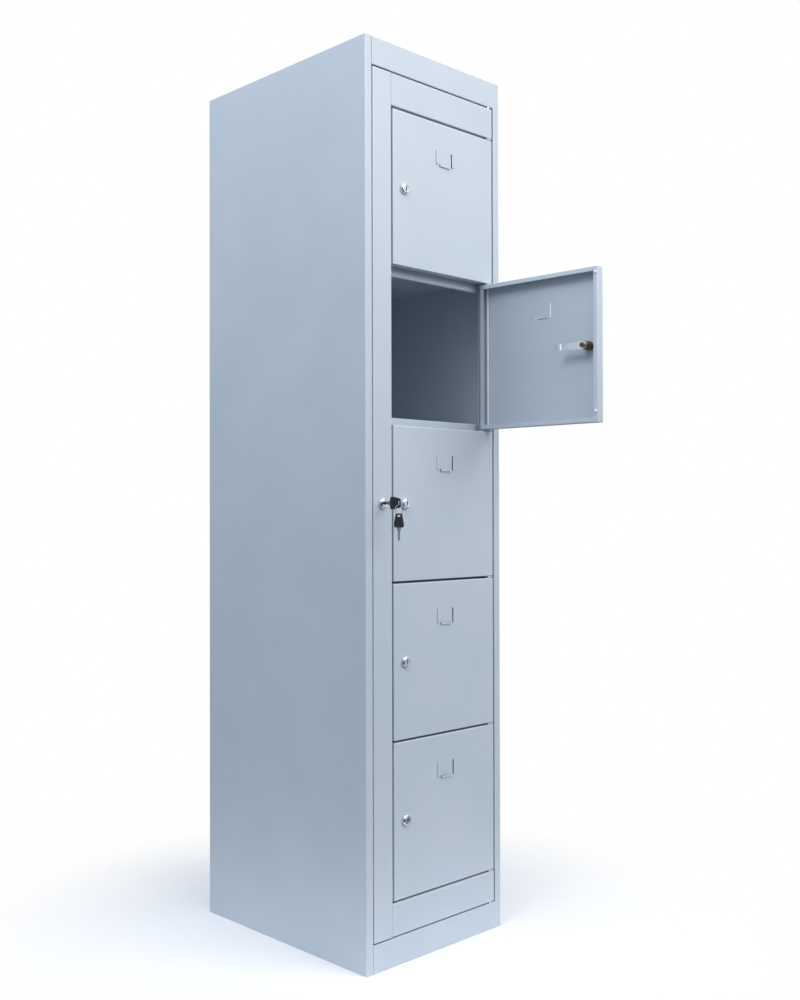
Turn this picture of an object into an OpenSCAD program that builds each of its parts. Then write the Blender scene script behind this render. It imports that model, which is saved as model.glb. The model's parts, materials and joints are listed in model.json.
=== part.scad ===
// Five-compartment steel distribution locker.
// A master door frame carries five small doors, so one lock opens them all.
// Origin: middle of the footprint, on the floor. X right, Y back, Z up. Millimetres.

/* [Cabinet] */
// Width over the side panels
cabinet_w = 390; // [340:5:600]
// Depth from the front face to the back
cabinet_d = 510; // [380:5:700]
// Height from the floor to the roof
cabinet_h = 1800; // [1500:10:2200]
// Thickness of the steel sheet
sheet = 1; // [0.8:0.1:1.2]
// Radius of the folds, measured at the middle of the sheet
fold_r = 1; // [0.8:0.1:3]
// Width of the cabinet's front stiles
stile_w = 17.5; // [15:0.5:30]
// Height of the front rail under the roof
roof_rail_h = 54.5; // [30:0.5:90]
// Height of the plinth front
plinth_h = 55.5; // [30:0.5:120]
// Depth of the folds that the cabinet stands on
foot_fold = 20; // [12:1:40]
// Height of the flanges of the roof, the base and the shelves at the back
rear_fold = 15; // [8:1:30]

/* [Shelves] */
// Distance from the hinge stile back to the shelves' front edges
shelf_clearance = 3; // [2:0.5:30]
// Height of a shelf's front edge
shelf_edge_h = 29; // [16:1:40]
// Depth of the hem under a shelf's front edge
shelf_hem = 9; // [5:1:14]

/* [Master door] */
// Gap on the lock side
latch_gap = 2.5; // [2:0.5:5]
// Gap on the hinge side
hinge_gap = 4.5; // [4:0.5:8]
// Gap above and below the master door
end_gap = 3; // [2.5:0.5:5]
// Width of the lock stile
lock_stile_w = 49.5; // [40:0.5:80]
// Height of the top and bottom rails
rail_h = 63.5; // [40:0.5:120]
// Thickness of the hinge stile
hinge_stile_t = 2; // [1.5:0.5:3]
// Width of the hinge stile and of the lugs on it
hinge_stile_w = 14; // [12:1:16]
// Clearance between a lug and the doors above and below it
lug_slack = 0.75; // [0.5:0.05:1]

/* [Small doors] */
// Gap around a small door
door_gap = 4.5; // [4:0.5:8]
// Depth of a door tray
tray_depth = 20; // [15:1:30]
// Width of the lip around a door's back
tray_lip = 9; // [6:1:12]
// How far the second door from the top stands open, in degrees
rest_open = 92.5; // [0:0.5:100]

/* [Hinges] */
// Diameter of a hinge rod
rod_d = 5; // [4:0.5:8]
// Distance from the pivot line to the doors' hinge edge
pivot_inset = 9; // [7:0.5:14]
// Radial clearance of a turning pin
pin_clearance = 0.1; // [0.05:0.01:0.1]

/* [Card holders] */
// Width between the side tabs
card_w = 45; // [30:1:80]
// Height of a side tab
card_tab_h = 28; // [15:1:40]
// Height of the bottom tab above the door's middle
card_z = 69.5; // [40:0.5:90]

/* [Locks] */
// Distance from a small door's free edge to its lock
lock_inset = 31; // [24:1:50]
// Distance from the master door's left edge to its lock
master_lock_inset = 25; // [20:1:30]
// Diameter of a lock body
lock_d = 18; // [16:0.5:22]
// Width of the rosette around a lock body
rosette_rim = 2; // [1:0.5:4]
// Height of a rosette
rosette_h = 6.5; // [4:0.5:8]
// Radial clearance of a plug
plug_clearance = 0.05; // [0.03:0.01:0.08]
// Distance from a small door's back to its cam
cam_clearance = 3; // [2:0.5:8]
// Thickness of a cam
cam_t = 2; // [1.5:0.5:3]
// Width of a cam at its hub
cam_w = 16; // [14:1:18]
// How far the straight part of a small lock's cam reaches past the door's free edge
cam_reach = 20; // [16:1:28]
// Length of the cranked end of a small lock's cam
cam_tip_l = 14; // [8:1:18]
// How far the end of a small lock's cam is cranked
cam_crank = 4; // [2.5:0.5:8]
// How far the master lock's cam reaches behind the cabinet's stile
master_cam_reach = 7.5; // [5:0.5:10]

/* [Keys] */
// Length of a key bow
bow_l = 27; // [24:1:32]
// Width of a key bow at the blade
bow_w = 24; // [20:1:26]
// Thickness of a key bow's grip
bow_t = 4; // [3:0.5:5]
// Thickness of a key bow at its slot
bow_end_t = 2.4; // [2:0.1:2.6]
// Visible length of a key blade
blade_l = 25; // [18:1:32]
// Diameter of the key ring, at the middle of its wire
ring_d = 18.8; // [18:0.2:30]
// Diameter of the key ring's wire
ring_wire_d = 1.2; // [1:0.1:1.4]

/* [Wall fixing] */
// Diameter of the fixing holes in the back
fixing_d = 8; // [6:0.5:12]
// Distance from the fixing holes to the cabinet's sides
fixing_side = 55; // [40:5:120]
// Distance from the fixing holes to the floor and to the roof
fixing_end = 150; // [100:10:400]

/* [Hidden] */

powder_coat = "#BACAD8";
zinc = "#D5DADD";
chrome = "#E2E4E6";
brass = "#A98A5B";
black_plastic = "#1C1F26";
white_plastic = "#EEF0F0";

compartments = 5;
fold_steps = 5;          // facets in one fold
round_fn = 48;           // facets shown on round parts

left = -cabinet_w / 2;
right = cabinet_w / 2;
front = -cabinet_d / 2;
back = cabinet_d / 2;
seam = 0.2;              // joint between a rail and a stile
lock_hole_r = lock_d / 2 + 0.1;          // hole in the sheet for a lock body
fold_out = fold_r + sheet / 2;           // outer and inner radius of a fold
fold_inner = fold_r - sheet / 2;

master_left = left + stile_w + latch_gap;
master_right = right - stile_w - hinge_gap;
master_bottom = plinth_h + end_gap;
master_top = cabinet_h - roof_rail_h - end_gap;
rail_left = master_left + lock_stile_w;

first_gap = master_bottom + rail_h + door_gap / 2;
last_gap = master_top - rail_h - door_gap / 2;
pitch = (last_gap - first_gap) / compartments;
door_left = rail_left + door_gap;
door_right = master_right;
door_h = pitch - door_gap;

pivot_depth = sheet + rod_d / 2 + 0.5;   // the pivot line clears the folded front by 0.5
pivot_x = door_right - pivot_inset;
pivot_y = front + pivot_depth;
lug_x = pivot_x - hinge_stile_w / 2;
lug_t = door_gap - 2 * lug_slack;
rod_gap = 0.2;                           // between the ends of two rods in one lug
rod_overlap = (lug_t - rod_gap) / 2;     // how far a rod reaches into a lug
collar_d = rod_d + 2.6;
collar_slack = 0.4;
pin_reach = 12;
pin_tail = 4;            // how far a pivot pin goes into the roof rail or the plinth

// A tray's back corner swings round the pivot line, and the rails and the hinge stile clear it.
swing_r = norm([pivot_inset, tray_depth - pivot_depth]);
swing_clearance = 1.6;
rail_depth = pivot_depth + swing_r + swing_clearance;
rail_lip = 8;
shelf_setback = rail_depth + hinge_stile_t + shelf_clearance;

// The cams pass behind the lock stile, and the master lock's parts in front of the small cams.
cam_pass = 2;
cam_depth = tray_depth + cam_clearance;
master_bolt_h = 2.5;
master_cam_depth = cam_depth - cam_t - master_bolt_h - cam_pass;
cam_l = lock_inset + cam_reach;
cam_end_w = 12;
master_cam_l = master_lock_inset + latch_gap + master_cam_reach;
master_cam_end_w = 14;
strike_depth = cam_depth - cam_pass;     // depth of the lock stile beside the small doors
strike_lip = 8;
stile_flange = master_cam_depth - 1.5;   // depth of the lock stile beside the cabinet's stile
stile_return = master_cam_depth - 2.5;   // depth of the return behind a cabinet's stile
foot_gap = 1;            // between the foot ring and those returns

tab_w = 4;               // width of a card tab
tab_t = 0.8;             // thickness of a card tab
tab_proud = 2.8;         // how far a card tab stands in front of the door

buffer_r = 3;
buffer_h = 2.5;
buffer_top = 12;         // from the door's top edge to a buffer's middle
buffer_bottom = 22;      // from the door's bottom edge to a buffer's middle

lock_x = door_left + lock_inset;
master_lock_x = master_left + master_lock_inset;
master_lock_z = first_gap + pitch * compartments / 2;
plug_d = lock_d - 5;
rosette_d = lock_d + 2 * rosette_rim;
rosette_face = 1.5;      // width of the flat ring round a plug
rosette_edge = 1.2;      // height of a rosette's upright edge
rosette_steps = 6;       // facets in a rosette's dome
body_gap = 0.5;          // between a lock body and its cam
nut_r = lock_d / 2 + 3;
nut_t = 4;
tail_w = 7;              // square end of a plug that drives the cam
bolt_r = 5;
bolt_h = 3.5;
bolt_shank_r = 2.5;
bolt_shank_l = 8;
bolt_seat = 0.1;         // keeps the bolt a solid of its own
keyhole_w = 2.4;
keyhole_h = 8;
keyhole_depth = 12;
blade_t = 1.8;
blade_w = 5.6;
shoulder_w = 9.6;
shoulder_l = 4;          // length of a blade's wide part
shoulder_end = 8;        // where its slope down to the blade ends
blade_point = 3;         // length of a blade's point
blade_end_gap = 1;       // between the blade's point and the keyhole's end
bow_stand_off = 15;      // from the rosette's face to the bow
bow_end_w = 15;
bow_end_l = 12;
bow_corner = 2;          // size of a bow's cut corners
bow_grip = 0.6;          // share of the grip that keeps its full width
slot_l = 10.4;
slot_w = 4.2;
slot_inset = 4.5;        // from the end of the bow to the slot's middle
ring_drop = 4;           // the top of the ring lies this far below the lock's line
ring_seat = 0.1;
ring_wire_fn = 16;
master_slot_y = front - rosette_h - bow_stand_off - bow_l + slot_inset;
ring_top_z = master_lock_z - ring_drop;
ring_bottom_z = ring_top_z - ring_d;

function door_z(i) = last_gap - pitch * i + door_gap / 2;      // door 1 is the top one
function door_mid(i) = door_z(i) + door_h / 2;
function door_open(i) = i == 2 ? rest_open : 0;

// ---- Folded sheet ----
function unit(v) = v / norm(v);
function left_of(v) = [-v[1], v[0]];
function turned(v, a) = [v[0] * cos(a) - v[1] * sin(a), v[0] * sin(a) + v[1] * cos(a)];

// Points and normals round one bend of the sheet's middle line.
function bend(a, b, c, r) =
  let (
    u = unit(b - a),
    v = unit(c - b),
    angle = atan2(cross(u, v), u * v),
    side = sign(angle),
    start = b - u * r * tan(abs(angle) / 2),
    centre = start + left_of(u) * side * r
  )
  [for (k = [0:fold_steps])
    let (n = turned(left_of(u), angle * k / fold_steps))
    [centre - n * side * r, n]];

function sheet_line(path, r) =
  let (last = len(path) - 1)
  concat(
    [[path[0], left_of(unit(path[1] - path[0]))]],
    [for (i = [1:last - 1]) each bend(path[i - 1], path[i], path[i + 1], r)],
    [[path[last], left_of(unit(path[last] - path[last - 1]))]]
  );

// Section of a sheet folded along the path of its middle line.
module folded(path) {
  line = sheet_line(path, fold_r);
  n = len(line) - 1;
  polygon(concat(
    [for (p = line) p[0] + p[1] * sheet / 2],
    [for (k = [n:-1:0]) line[k][0] - line[k][1] * sheet / 2]
  ));
}

// Stands a drawing made in (Y, Z) up and runs it along X from x0 to x1.
module along_x(x0, x1) {
  translate([x0, 0, 0]) rotate([90, 0, 90]) linear_extrude(x1 - x0) children();
}

module along_z(z0, z1) {
  translate([0, 0, z0]) linear_extrude(z1 - z0) children();
}

module box(low, high) {
  translate(low) cube(high - low);
}

// A round bar along Z, and one along Y.
module bar_z(x, y, z0, z1, r) {
  translate([x, y, z0]) cylinder(h = z1 - z0, r = r, $fn = round_fn);
}

module bar_y(x, z, y0, y1, r) {
  translate([x, y0, z]) rotate([-90, 0, 0]) cylinder(h = y1 - y0, r = r, $fn = round_fn);
}

// Turns a small door and what is on it about the pivot line.
module swung(angle) {
  translate([pivot_x, pivot_y, 0]) rotate([0, 0, angle]) translate([-pivot_x, -pivot_y, 0])
    children();
}

// ---- Cabinet ----
// A front stile is folded on both sides, and its outer return lies flush with the side panel.
module stile_section() {
  t = sheet / 2;
  folded([
    [left + stile_w - t, front + stile_return],
    [left + stile_w - t, front + t],
    [left + t, front + t],
    [left + t, front + stile_return]
  ]);
}

module front_stiles() {
  color(powder_coat) for (side = [0, 1])
    mirror([side, 0, 0]) along_z(0, cabinet_h) stile_section();
}

module side_panel_left() {
  color(powder_coat)
    box([left, front + stile_return, 0], [left + sheet, back - sheet, cabinet_h]);
}

module side_panel_right() {
  mirror([1, 0, 0]) side_panel_left();
}

module back_panel() {
  color(powder_coat) difference() {
    box([left, back - sheet, 0], [right, back, cabinet_h]);
    for (x = [left + fixing_side, right - fixing_side], z = [fixing_end, cabinet_h - fixing_end])
      bar_y(x, z, back - 2 * sheet, back + sheet, fixing_d / 2);
  }
}

// The folded rails at the top and the bottom run between the front stiles.
module between_stiles() {
  along_x(left + stile_w + seam, right - stile_w - seam) children();
}

// A flat sheet that fills the plan between the side panels, up to y1.
module inner_sheet(z, y1) {
  along_z(z, z + sheet) difference() {
    front_rounded(left + sheet, right - sheet, front + sheet, y1, fold_inner);
    stile_section();
    mirror([1, 0]) stile_section();
  }
}

module roof_panel() {
  t = sheet / 2;
  color(powder_coat) difference() {
    union() {
      between_stiles() folded([
        [front + stile_return, cabinet_h - roof_rail_h + t],
        [front + t, cabinet_h - roof_rail_h + t],
        [front + t, cabinet_h - t],
        [back - sheet - t, cabinet_h - t],
        [back - sheet - t, cabinet_h - rear_fold]
      ]);
      inner_sheet(cabinet_h - sheet, back - sheet);
    }
    bar_z(pivot_x, pivot_y, cabinet_h - roof_rail_h - sheet, cabinet_h - roof_rail_h + 2 * sheet,
          rod_d / 2);
  }
}

// The cabinet stands on a flat ring that runs round inside the walls.
module foot_ring() {
  y0 = front + stile_return + foot_gap;
  y1 = back - sheet;
  difference() {
    box([left + sheet, y0, 0], [right - sheet, y1, sheet]);
    box([left + sheet + foot_fold, y0 + foot_fold, -1],
        [right - sheet - foot_fold, y1 - foot_fold, sheet + 1]);
  }
}

module base_pan() {
  t = sheet / 2;
  color(powder_coat) difference() {
    union() {
      between_stiles() folded([
        [front + foot_fold, t],
        [front + t, t],
        [front + t, plinth_h - t],
        [back - sheet - t, plinth_h - t],
        [back - sheet - t, plinth_h - rear_fold]
      ]);
      inner_sheet(plinth_h - sheet, back - sheet);
      foot_ring();
    }
    bar_z(pivot_x, pivot_y, plinth_h - 2 * sheet, plinth_h + sheet, rod_d / 2);
  }
}

// Shelf 1 is the top one.
module shelf(i) {
  t = sheet / 2;
  z = last_gap - pitch * i;
  y = front + shelf_setback + t;
  color(powder_coat) along_x(left + sheet, right - sheet) folded([
    [y + shelf_hem, z - shelf_edge_h / 2 + t],
    [y, z - shelf_edge_h / 2 + t],
    [y, z + shelf_edge_h / 2 - t],
    [back - sheet - t, z + shelf_edge_h / 2 - t],
    [back - sheet - t, z + shelf_edge_h / 2 - rear_fold]
  ]);
}

module master_pivot_pins() {
  r = rod_d / 2;
  color(zinc) {
    bar_z(pivot_x, pivot_y, master_top - pin_reach, cabinet_h - roof_rail_h + pin_tail, r);
    bar_z(pivot_x, pivot_y, master_top + collar_slack, cabinet_h - roof_rail_h, collar_d / 2);
    bar_z(pivot_x, pivot_y, plinth_h - pin_tail, master_bottom + pin_reach, r);
    bar_z(pivot_x, pivot_y, plinth_h, master_bottom - collar_slack, collar_d / 2);
  }
}

// ---- Master door ----
module master_lock_stile() {
  t = sheet / 2;
  color(powder_coat) difference() {
    along_z(master_bottom, master_top) folded([
      [master_left + t, front + stile_flange],
      [master_left + t, front + t],
      [rail_left - t, front + t],
      [rail_left - t, front + strike_depth - t],
      [rail_left - strike_lip, front + strike_depth - t]
    ]);
    bar_y(master_lock_x, master_lock_z, front - 1, front + 2 * sheet, lock_hole_r);
  }
}

module master_hinge_stile() {
  color(powder_coat)
    box([lug_x, front + rail_depth, master_bottom],
        [lug_x + hinge_stile_w, front + rail_depth + hinge_stile_t, master_top]);
}

module master_rail(z0, pin_z) {
  t = sheet / 2;
  z1 = z0 + rail_h;
  color(powder_coat) difference() {
    along_x(rail_left, master_right) folded([
      [front + rail_depth - t, z0 + rail_lip],
      [front + rail_depth - t, z0 + t],
      [front + t, z0 + t],
      [front + t, z1 - t],
      [front + rail_depth - t, z1 - t],
      [front + rail_depth - t, z1 - rail_lip]
    ]);
    bar_z(pivot_x, pivot_y, pin_z - 2 * sheet, pin_z + 2 * sheet, rod_d / 2 + pin_clearance);
  }
}

module master_top_rail() {
  master_rail(master_top - rail_h, master_top);
}

module master_bottom_rail() {
  master_rail(master_bottom, master_bottom);
}

module door_pivot_lugs() {
  color(powder_coat) for (i = [0:compartments])
    difference() {
      z = last_gap - pitch * i;
      box([lug_x, front, z - lug_t / 2],
          [lug_x + hinge_stile_w, front + rail_depth, z + lug_t / 2]);
      bar_z(pivot_x, pivot_y, z - lug_t, z + lug_t, rod_d / 2 + pin_clearance);
    }
}

// ---- Small doors ----
// A block whose four front edges are rounded like a fold.
module folded_block(low, high, r) {
  intersection() {
    along_z(low[2], high[2]) front_rounded(low[0], high[0], low[1], high[1], r);
    along_x(low[0], high[0]) mirror([1, -1])
      front_rounded(low[2], high[2], low[1], high[1], r);
  }
}

module front_rounded(x0, x1, y0, y1, r) {
  step = 90 / fold_steps;
  polygon(concat(
    [[x1, y1], [x0, y1]],
    [for (k = [0:fold_steps]) [x0 + r - r * cos(k * step), y0 + r - r * sin(k * step)]],
    [for (k = [0:fold_steps]) [x1 - r + r * sin(k * step), y0 + r - r * cos(k * step)]]
  ));
}

// One lanced tab: a slot in the sheet, and the strip that was pushed out of it.
module tab_slot(x0, x1, z0, z1) {
  box([x0, front - 1, z0], [x1, front + 2 * sheet, z1]);
}

module door_tray(i) {
  low = [door_left, front, door_z(i)];
  high = [door_right, front + tray_depth, door_z(i) + door_h];
  skin = [sheet, sheet, sheet];
  lip = [tray_lip, 0, tray_lip];
  mid_x = (door_left + door_right) / 2;
  mid_z = door_mid(i);
  side_z = mid_z + card_z;
  color(powder_coat) swung(door_open(i)) difference() {
    union() {
      difference() {
        folded_block(low, high, fold_out);
        folded_block(low + skin, high - skin, fold_inner);
        box(low + lip + [0, 2 * sheet, 0], high - lip + [0, 1, 0]);
        for (side = [-1, 1])
          tab_slot(mid_x + side * card_w / 2 - tab_w / 2, mid_x + side * card_w / 2 + tab_w / 2,
                   side_z, side_z + card_tab_h);
        tab_slot(mid_x - card_w / 3, mid_x + card_w / 3, side_z - tab_w, side_z);
      }
      for (side = [-1, 1])
        lanced_tab(mid_x + side * card_w / 2, side_z + card_tab_h / 2, card_tab_h,
                   side > 0 ? 180 : 0);
      lanced_tab(mid_x, side_z - tab_w / 2, 2 * card_w / 3, 90);
    }
    bar_z(pivot_x, pivot_y, door_z(i) - 1, door_z(i) + door_h + 1, rod_d / 2);
    bar_y(lock_x, mid_z, front - 1, front + 2 * sheet, lock_hole_r);
  }
}

// The strip stands proud of the sheet, and is joined to it along one long edge.
module lanced_tab(x, z, length, turn) {
  joint = -tab_w / 2 - tab_t;
  translate([x, front, z]) rotate([0, -turn, 0]) {
    box([joint, -tab_proud, -length / 2], [tab_w / 2, tab_t - tab_proud, length / 2]);
    box([joint, -tab_proud, -length / 2], [-tab_w / 2, sheet, length / 2]);
  }
}

module door_hinge_rod(i) {
  color(zinc) swung(door_open(i))
    bar_z(pivot_x, pivot_y, door_z(i) - lug_slack - rod_overlap,
          door_z(i) + door_h + lug_slack + rod_overlap, rod_d / 2);
}

module door_buffers(i) {
  x = door_left + tray_lip / 2;
  color(white_plastic) swung(door_open(i))
    for (z = [door_z(i) + buffer_bottom, door_z(i) + door_h - buffer_top])
      bar_y(x, z, front + tray_depth, front + tray_depth + buffer_h, buffer_r);
}

// ---- Locks ----
// A domed rosette in front of the sheet and a round body behind it, bored for the plug.
module lock_body(x, z, depth) {
  bore_r = plug_d / 2 + plug_clearance;
  face_r = plug_d / 2 + rosette_face;
  translate([x, front, z]) rotate([-90, 0, 0]) rotate_extrude($fn = round_fn) polygon(concat(
    [[bore_r, depth], [bore_r, -rosette_h], [face_r, -rosette_h]],
    [for (k = [1:rosette_steps])
      let (a = 90 * k / rosette_steps)
      [face_r + (rosette_d / 2 - face_r) * sin(a),
       -rosette_edge - (rosette_h - rosette_edge) * cos(a)]],
    [[rosette_d / 2, 0], [lock_d / 2, 0], [lock_d / 2, depth]]
  ));
}

module lock_nut(x, z) {
  color(brass) difference() {
    translate([x, front + sheet, z]) rotate([-90, 30, 0]) cylinder(h = nut_t, r = nut_r, $fn = 6);
    bar_y(x, z, front, front + sheet + nut_t + 1, lock_d / 2);
  }
}

// The plug turns in the body: a keyhole in front, a square tail behind, a thread for the bolt.
module lock_plug(x, z, depth) {
  color(chrome) difference() {
    union() {
      bar_y(x, z, front - rosette_h, front + depth, plug_d / 2);
      translate([x, 0, z]) box([-tail_w / 2, front + depth, -tail_w / 2],
                               [tail_w / 2, front + depth + cam_t, tail_w / 2]);
    }
    translate([x, 0, z])
      box([-keyhole_w / 2, front - rosette_h - 1, -keyhole_h / 2],
          [keyhole_w / 2, front - rosette_h + keyhole_depth, keyhole_h / 2]);
    bar_y(x, z, front + depth + cam_t - bolt_shank_l, front + depth + cam_t + 1, bolt_shank_r);
  }
}

module cam_bolt(x, z, depth, h) {
  y = front + depth + cam_t + bolt_seat;
  bar_y(x, z, y - bolt_shank_l, y, bolt_shank_r - bolt_seat);
  translate([x, y, z]) rotate([-90, 0, 0]) cylinder(h = h, r = bolt_r, $fn = 6);
}

// Plan of a cam that points along +X: a round hub that tapers to a straight arm.
module cam_plan(length, end_w) {
  difference() {
    union() {
      circle(r = cam_w / 2, $fn = round_fn);
      polygon([[0, -cam_w / 2], [length, -end_w / 2], [length, end_w / 2], [0, cam_w / 2]]);
    }
    square([tail_w, tail_w], center = true);
  }
}

module small_cam(i) {
  z = door_mid(i);
  y = front + cam_depth;
  color(zinc) swung(door_open(i)) {
    translate([lock_x, y + cam_t, z]) rotate([90, 0, 0]) linear_extrude(cam_t)
      cam_plan(cam_l, cam_end_w);
    box([lock_x + cam_l - cam_t, y + cam_t, z - cam_end_w / 2],
        [lock_x + cam_l, y + cam_crank, z + cam_end_w / 2]);
    box([lock_x + cam_l - cam_t, y + cam_crank, z - cam_end_w / 2],
        [lock_x + cam_l + cam_tip_l, y + cam_crank + cam_t, z + cam_end_w / 2]);
    cam_bolt(lock_x, z, cam_depth, bolt_h);
  }
}

module small_plug(i) {
  swung(door_open(i)) lock_plug(lock_x, door_mid(i), cam_depth);
}

module door_lock_body(i) {
  color(chrome) swung(door_open(i)) lock_body(lock_x, door_mid(i), cam_depth - body_gap);
}

module door_lock_nut(i) {
  swung(door_open(i)) lock_nut(lock_x, door_mid(i));
}

module master_lock_body() {
  color(chrome) lock_body(master_lock_x, master_lock_z, master_cam_depth - body_gap);
}

module master_lock_nut() {
  lock_nut(master_lock_x, master_lock_z);
}

module master_lock_plug() {
  lock_plug(master_lock_x, master_lock_z, master_cam_depth);
}

module master_lock_cam() {
  color(zinc) {
    translate([master_lock_x, front + master_cam_depth + cam_t, master_lock_z])
      rotate([90, 90, 0]) linear_extrude(cam_t) cam_plan(master_cam_l, master_cam_end_w);
    cam_bolt(master_lock_x, master_lock_z, master_cam_depth, master_bolt_h);
  }
}

// ---- Keys ----
// A key lies along +U from the bow's inner end at 0, in its own (U, V) plane.
module bow_plan() {
  c = bow_corner;
  grip_l = (bow_l - bow_end_l) * bow_grip;
  half = bow_w / 2;
  end = bow_end_w / 2;
  polygon([
    [0, -half + c], [c, -half], [grip_l, -half], [bow_l - c, -end], [bow_l, -end + c],
    [bow_l, end - c], [bow_l - c, end], [grip_l, half], [c, half], [0, half - c]
  ]);
}

module slot_plan() {
  reach = (slot_l - slot_w) / 2;
  translate([bow_l - slot_inset, 0]) {
    square([slot_w, 2 * reach], center = true);
    for (side = [-1, 1])
      translate([0, side * reach]) circle(d = slot_w, $fn = round_fn);
  }
}

module key_bow() {
  difference() {
    translate([0, 0, -bow_t / 2]) linear_extrude(bow_t) bow_plan();
    translate([0, 0, -bow_t]) linear_extrude(2 * bow_t) slot_plan();
    for (side = [0, 1])
      mirror([0, 0, side]) box([bow_l - bow_end_l, -bow_w, bow_end_t / 2],
                               [bow_l + 1, bow_w, bow_t]);
  }
}

// The blade leaves the bow along -U, with a wide shoulder first.
module key_blade(length) {
  wide = shoulder_w / 2;
  narrow = blade_w / 2;
  point = blade_point - length;
  translate([0, 0, -blade_t / 2]) linear_extrude(blade_t) polygon([
    [0, -wide], [0, wide], [-shoulder_l, wide], [-shoulder_end, narrow], [point, narrow],
    [-length, 0], [point, -narrow], [-shoulder_end, -narrow], [-shoulder_l, -wide]
  ]);
}

// The key in the master lock: U points forwards, V up, its thickness across the cabinet.
module in_master_lock() {
  translate([master_lock_x, front - rosette_h - bow_stand_off, master_lock_z])
    rotate([90, 0, -90]) children();
}

// The spare key hangs on the ring: U points up, V backwards.
module on_ring() {
  slot_top = ring_bottom_z + ring_wire_d / 2 + ring_seat;
  translate([master_lock_x, master_slot_y, slot_top - slot_w / 2 + slot_inset - bow_l])
    rotate([0, -90, 0]) children();
}

module master_key_bow() {
  color(black_plastic) in_master_lock() key_bow();
}

module master_key_blade() {
  color(zinc) in_master_lock() key_blade(bow_stand_off + keyhole_depth - blade_end_gap);
}

module spare_key_bow() {
  color(black_plastic) on_ring() key_bow();
}

module spare_key_blade() {
  color(zinc) on_ring() key_blade(blade_l);
}

module key_ring() {
  color(zinc) translate([master_lock_x, master_slot_y, ring_top_z - ring_d / 2])
    rotate([90, 0, 0]) rotate_extrude($fn = round_fn) translate([ring_d / 2, 0])
      circle(d = ring_wire_d, $fn = ring_wire_fn);
}

// ---- Drawing ----
side_panel_left();
side_panel_right();
front_stiles();
back_panel();
roof_panel();
base_pan();
master_pivot_pins();
master_lock_stile();
master_hinge_stile();
master_top_rail();
master_bottom_rail();
door_pivot_lugs();
master_lock_body();
master_lock_nut();
master_lock_plug();
master_lock_cam();
master_key_blade();
master_key_bow();
key_ring();
spare_key_blade();
spare_key_bow();
for (i = [1:4])
  shelf(i);
for (i = [1:5]) {
  door_tray(i);
  door_hinge_rod(i);
  door_lock_body(i);
  door_lock_nut(i);
  door_buffers(i);
  small_plug(i);
  small_cam(i);
}
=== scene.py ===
"""Looks of a five-compartment steel distribution locker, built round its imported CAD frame.

Sizes are in millimetres and become metres when a mesh is made. Places come from the frame's nodes.
Small-door pieces are shaped with their door shut, then turned to the angle at which it rests.
"""

import json
import math

import bmesh
import bpy
import numpy as np
from mathutils import Matrix, Vector


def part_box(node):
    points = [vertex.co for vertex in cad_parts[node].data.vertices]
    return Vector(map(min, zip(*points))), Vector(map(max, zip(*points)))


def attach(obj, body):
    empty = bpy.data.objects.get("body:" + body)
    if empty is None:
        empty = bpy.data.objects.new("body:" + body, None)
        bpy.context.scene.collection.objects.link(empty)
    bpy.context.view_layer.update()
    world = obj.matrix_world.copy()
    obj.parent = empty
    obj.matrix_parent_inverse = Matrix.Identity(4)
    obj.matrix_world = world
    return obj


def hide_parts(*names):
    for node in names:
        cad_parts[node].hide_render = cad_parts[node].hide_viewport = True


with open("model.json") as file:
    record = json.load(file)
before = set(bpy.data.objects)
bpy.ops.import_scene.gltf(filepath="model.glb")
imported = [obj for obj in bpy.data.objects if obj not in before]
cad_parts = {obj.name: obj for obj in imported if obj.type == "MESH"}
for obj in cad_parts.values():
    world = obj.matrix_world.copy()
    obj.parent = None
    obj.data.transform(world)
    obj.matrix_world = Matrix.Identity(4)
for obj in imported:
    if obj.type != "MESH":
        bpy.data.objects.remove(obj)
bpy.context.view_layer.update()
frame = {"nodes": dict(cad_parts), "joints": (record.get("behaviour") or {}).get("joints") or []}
joints = {joint["name"]: joint for joint in frame["joints"]}

MM = 0.001
SHARP = 40.0             # shading breaks over edges that turn by more degrees
SAME = 2e-6              # points closer than this, in metres, are one
DOORS = range(1, 6)

# Sheet steel
SHEET = 1.0              # thickness
FOLD = 1.0               # radius of a fold at the middle of the sheet
FOLD_STEPS = 6           # quads round one fold
# Width of the painted highlight along folds and cut edges. Points are also placed at this distance.
HIGHLIGHT_BAND = 3.0               # paint looks different this far from a fold or a cut edge
STILE_W = 17.5           # cabinet's front stiles
STILE_FLANGE = 15.0      # depth of the lock stile at the cabinet's stile
STRIKE_LIP = 8.0         # lip of the lock stile that the small cams catch
RAIL_LIP = 8.0           # lips of the master door's rails
TRAY_LIP = 9.0           # lip round a small door's back
TRAY_CORNER = 1.2        # radius of a small door's upright corners
CORNER_STEPS = 5         # points round one of them
CARD_W = 45.0            # between the two side tabs of a card holder
TAB_W = 4.0
TAB_PROUD = 2.8
TAB_SHEET = 0.8
TAB_FOLD = 0.6           # fold radius of a tab, and corner radius of its slot
CARD_Z = 69.5            # foot of the side tabs, above the door's middle
SIDE_TAB_H = 28.0
PUNCH = 3.0              # how far a cutter reaches past a sheet's face

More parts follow.
